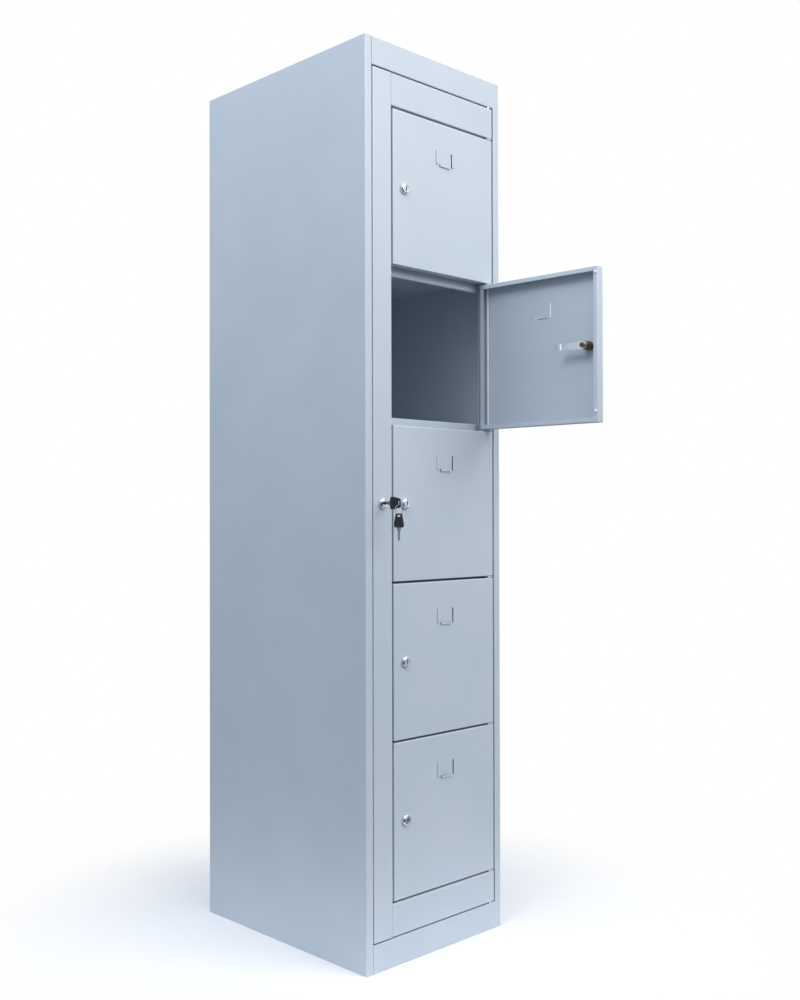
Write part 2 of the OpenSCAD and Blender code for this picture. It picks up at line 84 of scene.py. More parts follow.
# Locks
PLUG_GAP = 0.05
FACE_RING = 1.5          # flat ring of the rosette round the plug
ROSETTE_EDGE = 1.2       # upright edge of the rosette
THREAD_PITCH = 1.5
THREAD_DEPTH = 0.35
KEYWAY_W = 3.0
KEYWAY_H = 9.0
KEYWAY_DEPTH = 12.0
CAM_SHEET = 2.0
CAM_CRANK = 4.0
CAM_TIP_L = 15.0         # beyond the bend
CAM_TIP_W = 12.0
MASTER_CAM_TIP_W = 14.0
CAM_STUD = 2.4           # radius of the plug's threaded end
BARREL_WALL = 2.5        # between the plug and the outside of the barrel
CAM_NUT = (6.0, 3.6)     # radius over the corners, and height
CAM_NUT_PROUD = 0.6      # the stud's end beyond the nut
MASTER_CAM_NUT = (5.0, 2.2)
MASTER_NUT_PROUD = 0.3
ROUND_STEPS = 64
SMALL_STEPS = 32         # round rods, buffers and studs
RIM_STEPS = 96           # round nuts and the floor: a multiple of six

# Keys
BOW_END_L = 12.0         # thinner part of the bow at its slot
BOW_END_T = 2.4
BOW_END_W = 16.5
SLOT_W = 4.2
SLOT_L = 10.4
SLOT_INSET = 4.5
BLADE_T = 1.8
BLADE_W = 5.0
SHOULDER_W = 9.6
SHOULDER_L = 4.0
RING_WIRE = 1.2          # both turns of the ring together
TURN_W = 0.84
TURN_T = 0.5
TURN_CORNER = 0.24
TURN_GAP = 0.54          # between the middles of the two turns

# Floor and room
FLOOR_RADIUS = 9000.0
FLOOR_GLOW = 0.08
FLOOR_FADE = (0.32, 0.9)              # metres from the middle, where the floor fades away
UNLIT_CORNER = (-0.78, -0.55, -0.3)   # direction from the locker to the room's dark corner

# Camera
CAMERA_PLACE = (-1.6839, -1.8625, 0.8837)
CAMERA_TURN = (44.51, 0.59, -0.13)    # yaw, pitch and roll in degrees
CAMERA_LENS = 41.395                  # focal length in millimetres
SENSOR_W = 36.0


# ---- Lines and arcs ----

def box_mm(name):
    """Lowest and highest corner of a CAD node at rest, in millimetres."""
    low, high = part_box(name)
    return np.array(low) / MM, np.array(high) / MM


def unit(v):
    """v divided by its length."""
    return v / np.linalg.norm(v, axis=-1, keepdims=True)


def left_of(v):
    """v turned left by a right angle."""
    return np.stack([-v[..., 1], v[..., 0]], -1)


def turned(v, angle):
    """v turned left by an angle: (x cos a - y sin a, x sin a + y cos a)."""
    c, s = np.cos(angle), np.sin(angle)
    return np.stack([v[..., 0] * c - v[..., 1] * s, v[..., 0] * s + v[..., 1] * c], -1)


def arcs(before, corner, after, radius, steps):
    """Points and left normals of arcs that replace corners.

    With a the turn at a corner, its arc starts r tan(a/2) before it, and the centre is r to the inner side.
    """
    u, v = unit(corner - before), unit(after - corner)
    turn = np.arctan2(u[:, 0] * v[:, 1] - u[:, 1] * v[:, 0], (u * v).sum(-1))
    radius = np.broadcast_to(np.asarray(radius, float), turn.shape)[:, None]
    side = np.sign(turn)[:, None]
    centre = corner - u * radius * np.tan(abs(turn) / 2)[:, None] + left_of(u) * side * radius
    normal = turned(left_of(u)[:, None], turn[:, None] * np.linspace(0, 1, steps + 1))
    return centre[:, None] - normal * (side * radius)[:, None], normal


def outline(corners, radius, steps=6):
    """A closed line through the corners, each one rounded."""
    p = np.asarray(corners, float)
    points, _ = arcs(np.roll(p, 1, 0), p, np.roll(p, -1, 0), radius, steps)
    return points.reshape(-1, 2)


def folded(path, thickness=SHEET, fold=FOLD, cut_ends=(True, True)):
    """Section of a sheet whose middle line follows the path: the line moved half a thickness to its left,
    then back half a thickness to its right. The third value weights a painted highlight: 1 on folds and cut
    ends, and 0 a short way from them."""
    path = np.asarray(path, float)
    bends, bend_normals = arcs(path[:-2], path[1:-1], path[2:], fold, FOLD_STEPS)
    end_normals = left_of(unit(path[[1, -1]] - path[[0, -2]]))
    stops = [path[:1], *bends, path[-1:]]
    normals = [end_normals[:1], *bend_normals, end_normals[1:]]
    rows = []
    for i, (stop, normal) in enumerate(zip(stops, normals)):
        joined = (i == 0 and not cut_ends[0]) or (i + 1 == len(stops) and not cut_ends[1])
        # Cut ends get the full painted highlight. Ends joined to another sheet get none.
        edge_highlight = 0.0 if joined else 1.0
        rows.append(np.column_stack([stop, normal, np.full(len(stop), edge_highlight)]))
        if i + 1 == len(stops):
            break
        run = stops[i + 1][0] - stop[-1]
        length = np.linalg.norm(run)
        if length > 3 * HIGHLIGHT_BAND:
            near = np.array([HIGHLIGHT_BAND, length - HIGHLIGHT_BAND])[:, None] * run / length
            rows.append(np.column_stack([stop[-1] + near, np.tile(normal[-1], (2, 1)), np.zeros(2)]))
    line = np.vstack(rows)
    out = line[:, 2:4] * thickness / 2
    one = np.column_stack([line[:, :2] + out, line[:, 4]])
    other = np.column_stack([line[:, :2] - out, line[:, 4]])
    return np.vstack([one, other[::-1]])


# ---- Meshes ----

def piece_of(name, patches, caps=(), sharp=SHARP):
    """A closed mesh from grids of points (rows, columns, 3 or 4) and flat caps (n, 3 or 4).

    A fourth value weights a painted edge highlight. Points that meet are merged, and faces are turned
    outward.
    """
    sheets = [*patches, *caps]
    points = np.vstack([s.reshape(-1, s.shape[-1]) for s in sheets])
    faces, first = [], 0
    for s in patches:
        rows, columns = s.shape[:2]
        index = first + np.arange(rows * columns).reshape(rows, columns)
        quads = np.stack([index[:-1, :-1], index[1:, :-1], index[1:, 1:], index[:-1, 1:]], -1)
        faces += quads.reshape(-1, 4).tolist()
        first += rows * columns
    for s in caps:
        faces.append(list(range(first, first + len(s))))
        first += len(s)
    mesh = bpy.data.meshes.new(name)
    mesh.from_pydata(points[:, :3] * MM, [], faces)
    # The fourth value becomes a point attribute that paints a highlight along edges.
    if points.shape[1] == 4:
        edge_highlight = mesh.attributes.new("edge_highlight", "FLOAT", "POINT")
        edge_highlight.data.foreach_set("value", points[:, 3].astype(np.float32))
    close_up(mesh)
    smooth_but(mesh, sharp)
    made = bpy.data.objects.new(name, mesh)
    bpy.context.scene.collection.objects.link(made)
    return made


def close_up(mesh):
    """Merges the points where patches meet and turns every face outward."""
    work = bmesh.new()
    work.from_mesh(mesh)
    bmesh.ops.remove_doubles(work, verts=work.verts, dist=SAME)
    bmesh.ops.dissolve_degenerate(work, dist=SAME, edges=work.edges)
    bmesh.ops.recalc_face_normals(work, faces=work.faces)
    work.to_mesh(mesh)
    work.free()


def smooth_but(mesh, sharp):
    """Smooth shading, except over edges that turn by more than the angle in degrees."""
    mesh.shade_smooth()
    mesh.set_sharp_from_angle(angle=math.radians(sharp))


def carved(piece, others, operation="DIFFERENCE", sharp=SHARP):
    """Cuts other meshes out of a piece, or joins them to it, and removes them."""
    for other in others:
        step = piece.modifiers.new("carve", "BOOLEAN")
        step.object, step.operation, step.solver = other, operation, "EXACT"
    shown = piece.evaluated_get(bpy.context.evaluated_depsgraph_get())
    mesh = bpy.data.meshes.new_from_object(shown)
    piece.modifiers.clear()
    piece.data = mesh
    smooth_but(mesh, sharp)
    for other in others:
        bpy.data.objects.remove(other)
    return piece


def ringed(rows):
    """A grid whose last column repeats its first, so that it closes."""
    return np.concatenate([rows, rows[:, :1]], 1)


def along(section, low, high, axis):
    """A closed section carried straight from low to high, with both ends capped.

    Along "x" the section is in (y, z), and along "z" in (x, y).
    """
    length = high - low
    # Both ends are cut edges, where the painted highlight is full. It fades out a short way in.
    stations = np.array([low, low + HIGHLIGHT_BAND, high - HIGHLIGHT_BAND, high]) if length > 3 * HIGHLIGHT_BAND else np.array([low, high])
    end_highlight = np.array([1.0, 0.0, 0.0, 1.0]) if length > 3 * HIGHLIGHT_BAND else np.array([1.0, 1.0])
    s = np.broadcast_to(stations[:, None], (len(stations), len(section)))
    a = np.broadcast_to(section[:, 0], s.shape)
    b = np.broadcast_to(section[:, 1], s.shape)
    edge_highlight = np.maximum(section[:, 2], end_highlight[:, None])
    grid = np.stack([s, a, b, edge_highlight] if axis == "x" else [a, b, s, edge_highlight], -1)
    return [ringed(grid)], [grid[0], grid[-1]]


def lathed(profile, centre, axis="y", steps=ROUND_STEPS):
    """A profile of (radius, distance) points turned about an axis through centre."""
    profile = np.asarray(profile, float)
    angle = np.linspace(0, 2 * np.pi, steps, endpoint=False)
    r, t = profile[:, :1], profile[:, 1:]
    flat = np.stack([r * np.cos(angle), np.broadcast_to(t, (len(profile), steps)), r * np.sin(angle)], -1)
    if axis == "z":
        flat = flat[..., [0, 2, 1]]
    return ringed(flat + np.asarray(centre, float))


def smoothstep(x):
    """0 below 0, 1 above 1, and 3x^2 - 2x^3 between."""
    x = np.clip(x, 0, 1)
    return x * x * (3 - 2 * x)


def prism(name, loop, low, high, axis):
    """A cutter: a closed loop carried straight along an axis, "y" giving (x, z) loops."""
    loop = np.asarray(loop, float)
    ends = np.array([low, high])[:, None]
    s = np.broadcast_to(ends, (2, len(loop)))
    a, b = np.broadcast_to(loop[:, 0], s.shape), np.broadcast_to(loop[:, 1], s.shape)
    order = {"x": [s, a, b], "y": [a, s, b], "z": [a, b, s]}[axis]
    grid = np.stack(order, -1)
    return piece_of(name, [ringed(grid)], [grid[0], grid[1]])


def circle(x, y, radius, steps=ROUND_STEPS):
    """Points round a circle: (x + r cos a, y + r sin a)."""
    angle = np.linspace(0, 2 * np.pi, steps, endpoint=False)
    return np.column_stack([x + radius * np.cos(angle), y + radius * np.sin(angle)])


def rectangle(x0, x1, y0, y1):
    """The four corners, turning left."""
    return [(x0, y0), (x1, y0), (x1, y1), (x0, y1)]


# ---- Materials ----

def colour(code):
    """sRGB hex to linear: c / 12.92 up to 0.04045, and ((c + 0.055) / 1.055)^2.4 above."""
    c = np.array([int(code[i:i + 2], 16) for i in (1, 3, 5)]) / 255
    return (*np.where(c <= 0.04045, c / 12.92, ((c + 0.055) / 1.055) ** 2.4), 1.0)


def add(tree, kind, inputs=None, **settings):
    """Adds one node with its settings. An input is given as a value or as the socket that feeds it."""
    made = tree.nodes.new(kind)
    for name, value in settings.items():
        setattr(made, name, value)
    for name, value in (inputs or {}).items():
        if isinstance(value, bpy.types.NodeSocket):
            tree.links.new(value, made.inputs[name])
        else:
            made.inputs[name].default_value = value
    return made


def per(size_mm):
    """Noise scale whose pattern repeats about once in so many millimetres."""
    return 1 / (size_mm * MM)


def surface(name, base, roughness, metallic=0.0, **sockets):
    """A material with one Principled shader, its tree, the shader and the object's coordinates."""
    made = bpy.data.materials.new(name)
    made.use_nodes = True
    tree = made.node_tree
    shader = tree.nodes["Principled BSDF"]
    values = {"Base Color": colour(base), "Roughness": roughness, "Metallic": metallic, **sockets}
    for socket, value in values.items():
        shader.inputs[socket].default_value = value
    place = add(tree, "ShaderNodeTexCoord").outputs["Object"]
    return made, tree, shader, place


def ramp(tree, value, start, end, first=0.0, last=1.0, **settings):
    """Runs from first to last while the value goes from start to end."""
    inputs = {"Value": value, "From Min": start, "From Max": end, "To Min": first, "To Max": last}
    return add(tree, "ShaderNodeMapRange", inputs, **settings).outputs["Result"]


def noise(tree, place, size_mm, detail):
    """Cloudy noise between 0 and 1."""
    inputs = {"Vector": place, "Scale": per(size_mm), "Detail": detail}
    return add(tree, "ShaderNodeTexNoise", inputs).outputs["Fac"]


def drawn_lines(tree, place, size_mm, pull):
    """Noise drawn out along Z, as a die leaves it. A smaller pull gives longer lines."""
    drawn = add(tree, "ShaderNodeMapping", {"Vector": place, "Scale": (1.0, 1.0, pull)})
    return noise(tree, drawn.outputs["Vector"], size_mm, 2.0)


def mixed(tree, share, one, other):
    """A colour between two others, each given as a hex code or as a socket."""
    ends = [colour(end) if isinstance(end, str) else end for end in (one, other)]
    return add(tree, "ShaderNodeMix", {0: share, 6: ends[0], 7: ends[1]}, data_type="RGBA").outputs[2]


def toned(tree, shader, share, one, other):
    """Base colour between two others."""
    tree.links.new(mixed(tree, share, one, other), shader.inputs["Base Color"])


def glossed(tree, shader, value, low, high):
    """Roughness that runs from low to high with a value between 0 and 1."""
    tree.links.new(ramp(tree, value, 0.0, 1.0, low, high), shader.inputs["Roughness"])


def relief(tree, shader, height, strength, depth, under=None):
    """Bumps of a depth in millimetres, on the surface itself or on top of other bumps."""
    inputs = {"Height": height, "Strength": strength, "Distance": depth * MM}
    if under is not None:
        inputs["Normal"] = under
    normal = add(tree, "ShaderNodeBump", inputs).outputs["Normal"]
    tree.links.new(normal, shader.inputs["Normal"])
    return normal


def powder_coat():
    """Polyester powder coat, sprayed and baked on sheet steel: an even satin skin with a slight orange peel,
    clouds of tone too faint to name, and a painted highlight: the colour runs paler along each fold and cut
    edge."""
    made, tree, shader, place = surface("powder_coated_steel", "#BFCBD6", 0.4, IOR=1.5)
    clouds = ramp(tree, noise(tree, place, 160, 2.0), 0.35, 0.65)
    tone = mixed(tree, clouds, "#BDCAD5", "#C2CDD8")
    # Painted highlight: the colour is paler along folds and cut edges, as if they caught the light.
    edge_highlight = add(tree, "ShaderNodeAttribute", attribute_name="edge_highlight").outputs["Fac"]
    highlight_share = add(tree, "ShaderNodeMath", {0: edge_highlight, 1: 0.35}, operation="MULTIPLY").outputs[0]
    toned(tree, shader, highlight_share, tone, "#D2DAE2")
    # Real orange peel is 1 to 2 mm across; 4 mm is as fine as the render can show.
    peel = noise(tree, place, 4, 1.0)
    glossed(tree, shader, peel, 0.36, 0.46)
    # A large thin panel is never quite flat: waves about 220 mm long and some tenths deep.
    panel = relief(tree, shader, noise(tree, place, 220, 0.0), 0.4, 0.4)
    relief(tree, shader, peel, 0.35, 0.03, panel)
    return made


def zinc_plate():
    """Bright zinc electroplate on drawn or stamped steel: cool grey metal, softly clouded, with fine draw
    lines."""
    made, tree, shader, place = surface("zinc_plated_steel", "#CDD4D8", 0.28, metallic=1.0)
    toned(tree, shader, noise(tree, place, 9, 3.0), "#CBD6DA", "#EEF3F4")
    lines = drawn_lines(tree, place, 0.6, 0.08)
    glossed(tree, shader, lines, 0.2, 0.38)
    relief(tree, shader, lines, 0.2, 0.02)
    return made


def bright_zinc():
    """Clear-passivated zinc on a drawn rod, coloured nearly white and only slightly metallic, so it stays
    pale beside the darker steel instead of mirroring it. Draw lines run up its length."""
    made, tree, shader, place = surface("clear_passivated_zinc", "#F2F7FA", 0.35, metallic=0.25)
    lines = drawn_lines(tree, place, 0.5, 0.05)
    toned(tree, shader, lines, "#EAF1F5", "#FAFCFD")
    glossed(tree, shader, lines, 0.25, 0.45)
    return made


def chrome_plate():
    """Bright chrome on die-cast zinc: a near mirror, with the casting's faint waves and polishing haze."""
    made, tree, shader, place = surface("chromed_die_cast_zinc", "#E2E4E6", 0.09, metallic=1.0)
    haze = noise(tree, place, 3, 3.0)
    glossed(tree, shader, haze, 0.05, 0.16)
    relief(tree, shader, haze, 0.15, 0.03)
    return made


def nickel_plate():
    """Nickel-plated brass, stamped and milled: dark grey metal with fine lines left by the cutter."""
    made, tree, shader, place = surface("nickel_plated_brass", "#94989B", 0.24, metallic=1.0)
    inputs = {"Vector": place, "Scale": per(2.4), "Distortion": 1.5, "Detail": 2.0}
    cutter = add(tree, "ShaderNodeTexWave", inputs, bands_direction="Z").outputs["Fac"]
    glossed(tree, shader, cutter, 0.18, 0.34)
    relief(tree, shader, cutter, 0.15, 0.02)
    return made


def yellow_zinc():
    """Yellow passivated steel, barrel plated: olive metal that shifts to brown, dull from tumbling."""
    made, tree, shader, place = surface("yellow_passivated_steel", "#857962", 0.42, metallic=1.0)
    film = ramp(tree, noise(tree, place, 5, 3.0), 0.3, 0.7)
    toned(tree, shader, film, "#77705A", "#948069")
    relief(tree, shader, noise(tree, place, 1.2, 1.0), 0.3, 0.06)
    return made


def black_oxide():
    """Oiled black oxide on a machined stud: near-black metal, lighter where the oil has dried."""
    made, tree, shader, place = surface("black_oxide_steel", "#3A403F", 0.38, metallic=0.9)
    oil = noise(tree, place, 2, 2.0)
    toned(tree, shader, oil, "#2B302F", "#525957")
    glossed(tree, shader, oil, 0.3, 0.5)
    return made


def black_plastic():
    """Black ABS, injection moulded in a spark-eroded tool: a fine grain that softens every highlight."""
    made, tree, shader, place = surface("moulded_black_abs", "#0B1018", 0.5, IOR=1.5)
    grain = noise(tree, place, 0.5, 2.0)
    glossed(tree, shader, grain, 0.44, 0.6)
    relief(tree, shader, grain, 0.4, 0.04)
    return made


def white_plastic():
    """Soft white PVC, moulded: light goes a little way in, so its shadows stay pale."""
    made, tree, shader, place = surface("moulded_white_pvc", "#EEF0F0", 0.45, IOR=1.53)
    shader.inputs["Subsurface Weight"].default_value = 0.25
    shader.inputs["Subsurface Scale"].default_value = 1.5 * MM
    relief(tree, shader, noise(tree, place, 0.8, 1.0), 0.2, 0.04)
    return made


PAINT = powder_coat()
ZINC = zinc_plate()
BRIGHT = bright_zinc()
CHROME = chrome_plate()
NICKEL = nickel_plate()
YELLOW = yellow_zinc()
OXIDE = black_oxide()
BLACK = black_plastic()
WHITE = white_plastic()


def finish_piece(piece, material, body, nodes=()):
    """Gives a piece its material, the body it rides on and the nodes it stands for."""
    piece.data.materials.clear()
    piece.data.materials.append(material)
    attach(piece, body)
    if nodes:
        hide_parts(*nodes)
    return piece


# ---- Where things are ----

stiles_low, stiles_high = box_mm("front_stiles")
LEFT, FRONT, FLOOR = stiles_low
STILE_BACK, ROOF = stiles_high[1:]


def door_box(i):
    """Corners of a small door's tray when it is shut, without its tabs."""
    low, high = box_mm("door_1_tray")
    own_low, own_high = box_mm(f"door_{i}_tray")
    return np.array([low[0], FRONT, own_low[2]]), np.array([high[0], high[1], own_high[2]])


def shut_box(i, part):
    """Corners of a small door's part when the door is shut: door 1's plan at this door's height."""
    low, high = box_mm(part.format(1))
    own_low, own_high = box_mm(part.format(i))
    return np.array([*low[:2], own_low[2]]), np.array([*high[:2], own_high[2]])


def at_rest(piece, i):
    """Turns a small door's piece from shut to its angle at rest, the opposite of its lower limit."""
    hinge = joints[f"door_{i}_hinge"]
    angle = -math.radians(hinge["range_deg"][0])
    if angle:
        pivot = Matrix.Translation(Vector(hinge["pos_m"]))
        piece.data.transform(pivot @ Matrix.Rotation(angle, 4, "Z") @ pivot.inverted())
    return piece


# ---- Cabinet ----

def front_stiles():
    """The two front stiles, each a folded section carried up the cabinet. The outer return runs flush into
    the side panel, so only its inner end is a cut edge."""
    t = SHEET / 2
    section = folded([
        (LEFT + STILE_W - t, STILE_BACK), (LEFT + STILE_W - t, FRONT + t), (LEFT + t, FRONT + t),
        (LEFT + t, STILE_BACK)], cut_ends=(True, False))
    left_walls, left_ends = along(section, FLOOR, ROOF, "z")
    right_walls, right_ends = along(section * (-1, 1, 1), FLOOR, ROOF, "z")
    stiles = piece_of("front_stiles", left_walls + right_walls, left_ends + right_ends)
    return finish_piece(stiles, PAINT, "cabinet", ["front_stiles"])


front_stiles()


# ---- Master door ----

def lock_stile():
    """The folded stile with the master lock, and the strike lip behind the small doors' free edges."""
    low, high = box_mm("master_lock_stile")
    lock_low, lock_high = box_mm("master_lock_body")
    t = SHEET / 2
    section = folded([
        (low[0] + t, FRONT + STILE_FLANGE), (low[0] + t, FRONT + t), (high[0] - t, FRONT + t),
        (high[0] - t, high[1] - t), (high[0] - STRIKE_LIP, high[1] - t)])
    stile = piece_of("master_lock_stile", *along(section, low[2], high[2], "z"))
    middle = (lock_low + lock_high) / 2
    barrel = lock_barrel_radius()
    hole = prism("hole", circle(middle[0], middle[2], barrel), FRONT - PUNCH, FRONT + PUNCH, "y")
    carved(stile, [hole])
    return finish_piece(stile, PAINT, "master_door", ["master_lock_stile"])


def lock_barrel_radius():
    """Radius of a lock's round body behind the sheet, from the hole that the nut leaves for it."""
    low, high = box_mm("master_lock_plug")
    return (high[0] - low[0]) / 2 + BARREL_WALL


def master_rail(name):
    """A folded channel with a lip on each flange, drilled for a pivot pin."""
    low, high = box_mm(name)
    t = SHEET / 2
    rear = high[1] - t
    section = folded([
        (rear, low[2] + RAIL_LIP), (rear, low[2] + t), (FRONT + t, low[2] + t), (FRONT + t, high[2] - t),
        (rear, high[2] - t), (rear, high[2] - RAIL_LIP)])
    rail = piece_of(name, *along(section, low[0], high[0], "x"))
    pin_low, pin_high = box_mm("door_1_hinge_rod")
    pin = (pin_low + pin_high) / 2
    radius = (pin_high[0] - pin_low[0]) / 2
    at = high[2] if name == "master_top_rail" else low[2]
    carved(rail, [prism("bore", circle(pin[0], pin[1], radius), at - PUNCH, at + PUNCH, "z")])
    return finish_piece(rail, PAINT, "master_door", [name])


lock_stile()
master_rail("master_top_rail")
master_rail("master_bottom_rail")


# ---- Small doors ----

def framed(section, low, high, corner):
    """A section of (inset, depth, painted highlight) points carried round the rectangle from low to high.

    At inset d each side is d shorter at both ends, and a corner is an arc of radius max(corner - d, 0).
    """
    quarter = np.linspace(0, 90, CORNER_STEPS)
    angle = np.radians(np.concatenate([180 + quarter, 270 + quarter, quarter, 90 + quarter]))
    right = np.repeat([False, True, True, False], CORNER_STEPS)
    top = np.repeat([False, False, True, True], CORNER_STEPS)
    inset = section[:, :1]
    reach = np.maximum(inset, corner)
    x = np.where(right, high[0] - reach, low[0] + reach) + (reach - inset) * np.cos(angle)
    z = np.where(top, high[2] - reach, low[2] + reach) + (reach - inset) * np.sin(angle)
    y = np.broadcast_to(low[1] + section[:, 1:2], x.shape)
    return np.stack([x, y, z, np.broadcast_to(section[:, 2:], x.shape)], -1)


def card_tab(x, z, length, turn):
    """A strip pressed out of the sheet: an L-shaped section carried along its length, turned about Y."""
    t = TAB_SHEET / 2
    joint = -TAB_W / 2 - t
    section = folded([(joint, 2 * t), (joint, t - TAB_PROUD), (TAB_W / 2, t - TAB_PROUD)],
                     thickness=TAB_SHEET, fold=TAB_FOLD)
    tab = piece_of("tab", *along(section, -length / 2, length / 2, "z"))
    place = Matrix.Translation(Vector((x, FRONT, z)) * MM)
    tab.data.transform(place @ Matrix.Rotation(math.radians(-turn), 4, "Y"))
    return tab


def door_tray(i):
    """A pressed tray: a sheet folded back and then inward, carried round the door, with its face closed in
    front, and then punched for the lock, the card tabs and the hinge rod."""
    low, high = door_box(i)
    depth, t = high[1] - low[1], SHEET / 2
    inner = TRAY_LIP + 4
    section = folded([(inner, t), (t, t), (t, depth - t), (TRAY_LIP, depth - t)], cut_ends=(False, True))
    wall = framed(section, low, high, TRAY_CORNER)
    corners = wall[:, ::wall.shape[1] // 4]
    tray = piece_of(f"door_{i}_tray", [ringed(wall)], [corners[0], corners[-1]])

    lock_low, lock_high = shut_box(i, "door_{}_lock_body")
    lock = (lock_low + lock_high) / 2
    rod_low, rod_high = shut_box(i, "door_{}_hinge_rod")
    rod = (rod_low + rod_high) / 2
    middle = (low + high) / 2
    tab_z, tab_top, foot = card_heights(i)
    side_x = middle[0] + np.array([-1, 1]) * CARD_W / 2
    y0, y1 = FRONT - PUNCH, FRONT + PUNCH
    rod_radius = (rod_high[0] - rod_low[0]) / 2
    foot_x = middle[0] + np.array([-1, 1]) * CARD_W / 3
    slots = [rectangle(x - TAB_W / 2, x + TAB_W / 2, tab_z, tab_top) for x in side_x]
    slots.append(rectangle(*foot_x, foot, tab_z))
    holes = [prism("hole", circle(lock[0], lock[2], lock_barrel_radius()), y0, y1, "y"),
             prism("bore", circle(rod[0], rod[1], rod_radius), low[2] - PUNCH, high[2] + PUNCH, "z")]
    holes += [prism("slot", outline(slot, TAB_FOLD), y0, y1, "y") for slot in slots]
    carved(tray, holes)
    tabs = [card_tab(x, (tab_z + tab_top) / 2, tab_top - tab_z, turn) for x, turn in zip(side_x, (0, 180))]
    tabs.append(card_tab(middle[0], (foot + tab_z) / 2, foot_x[1] - foot_x[0], 90))
    carved(tray, tabs, "UNION")
    at_rest(tray, i)
    return finish_piece(tray, PAINT, f"door_{i}", [f"door_{i}_tray"])


def card_heights(i):
    """Bottom and top of the side tabs, and the bottom of the tab below the card."""
    low, high = door_box(i)
    bottom = (low[2] + high[2]) / 2 + CARD_Z
    return bottom, bottom + SIDE_TAB_H, bottom - TAB_W


def hinge_rod(i):
    """A drawn rod with chamfered ends, turned about the pivot line."""
    low, high = shut_box(i, "door_{}_hinge_rod")
    middle, r, chamfer = (low + high) / 2, (high[0] - low[0]) / 2, 0.6
    profile = [(0, low[2]), (r - chamfer, low[2]), (r, low[2] + chamfer), (r, low[2] + 5),
               (r, high[2] - 5), (r, high[2] - chamfer), (r - chamfer, high[2]), (0, high[2])]
    rod = piece_of(f"door_{i}_hinge_rod", [lathed(profile, (middle[0], middle[1], 0), "z", SMALL_STEPS)])
    at_rest(rod, i)
    return finish_piece(rod, BRIGHT, f"door_{i}", [f"door_{i}_hinge_rod"])


def buffers(i):
    """Two moulded buttons on the lip: a short wall and a quarter-round edge, with a flat top."""
    low, high = shut_box(i, "door_{}_buffers")
    r = (high[0] - low[0]) / 2
    x, edge = (low[0] + high[0]) / 2, 1.2
    steps = np.radians(np.linspace(0, 90, 7))
    dome = np.column_stack([r - edge + edge * np.cos(steps), high[1] - edge + edge * np.sin(steps)])
    profile = np.vstack([[(0, low[1]), (r, low[1])], dome, [(0, high[1])]])
    dots = [lathed(profile, (x, 0, z), "y", SMALL_STEPS) for z in (low[2] + r, high[2] - r)]
    made = piece_of(f"door_{i}_buffers", dots)
    at_rest(made, i)
    return finish_piece(made, WHITE, f"door_{i}", [f"door_{i}_buffers"])


for i in DOORS:
    door_tray(i)
    hinge_rod(i)
    buffers(i)


# ---- Locks ----

def lock_body(name, low, high, plug_radius):
    """A domed rosette on the sheet and a threaded barrel behind it, bored for the plug.

    The dome is a quarter ellipse from the face ring to the rim. The barrel's radius is
    R - depth |2 frac(t / pitch - angle / 2 pi) - 1|, which is a thread, and it fades out at both ends.
    """
    x, z = (low[0] + high[0]) / 2, (low[2] + high[2]) / 2
    rim, barrel, bore = (high[0] - low[0]) / 2, lock_barrel_radius(), plug_radius + PLUG_GAP
    face = bore + FACE_RING
    quarter = np.radians(np.linspace(0, 90, 15))
    height = FRONT - low[1]
    dome = np.column_stack([face + (rim - face) * np.sin(quarter),
                            FRONT - ROSETTE_EDGE - (height - ROSETTE_EDGE) * np.cos(quarter)])
    edge = 0.2
    mouth = [(bore, low[1] + 1), (bore, low[1] + edge), (bore + edge, low[1]), (face - 0.3, low[1])]
    seat = [(rim, FRONT - edge), (rim - edge, FRONT), (barrel, FRONT)]
    front = np.vstack([mouth, dome, seat])
    rows = int((high[1] - FRONT) * 5)
    t = np.linspace(FRONT, high[1], rows)[:, None]
    angle = np.linspace(0, 2 * np.pi, ROUND_STEPS, endpoint=False)
    wave = np.abs(2 * np.mod(t / THREAD_PITCH - angle / (2 * np.pi), 1) - 1)
    fade = smoothstep((t - FRONT - 2) / 2) * smoothstep((high[1] - t) / 2)
    r = barrel - THREAD_DEPTH * wave * fade
    thread = np.stack([x + r * np.cos(angle), np.broadcast_to(t, r.shape), z + r * np.sin(angle)], -1)
    inside = [(barrel, high[1]), (bore, high[1]), (bore, low[1] + 1)]
    return piece_of(name, [lathed(front, (x, 0, z)), ringed(thread), lathed(inside, (x, 0, z))])


def plated_front(body):
    """Chrome on the rosette, and yellow passivation on the barrel, behind the sheet."""
    body.data.materials.append(YELLOW)
    centre = np.empty(len(body.data.polygons) * 3)
    body.data.polygons.foreach_get("center", centre)
    behind = centre.reshape(-1, 3)[:, 1] > (FRONT + 0.1) * MM
    body.data.polygons.foreach_set("material_index", behind.astype(np.int32))


def lock_plug(name, low, high):
    """A chamfered cylinder with a keyway: an upright slot with a ward on one side."""
    x, z = (low[0] + high[0]) / 2, (low[2] + high[2]) / 2
    r, chamfer = (high[0] - low[0]) / 2, 0.5
    profile = [(0, low[1]), (r - chamfer, low[1]), (r, low[1] + chamfer), (r, low[1] + 4), (r, high[1] - 1),
               (r - chamfer, high[1] - chamfer), (r - 2 * chamfer, high[1]), (0, high[1])]
    plug = piece_of(name, [lathed(profile, (x, 0, z))])
    w, h, ward = KEYWAY_W / 2, KEYWAY_H / 2, 0.7
    slot = [(-w, -h), (w - ward, -h), (w - ward, -1), (w, -0.6),
            (w, h), (-w + ward, h), (-w + ward, 1.4), (-w, 1)]
    loop = outline(slot, 0.25, 3) + (x, z)
    return carved(plug, [prism("keyway", loop, low[1] - 1, low[1] + KEYWAY_DEPTH, "y")], sharp=30.0)


def hexagon(angle, apothem):
    """Distance from the middle to a hexagon's side: a / cos(t), with t the angle from the nearest flat."""
    return apothem / np.cos(np.mod(angle, np.pi / 3) - np.pi / 6)


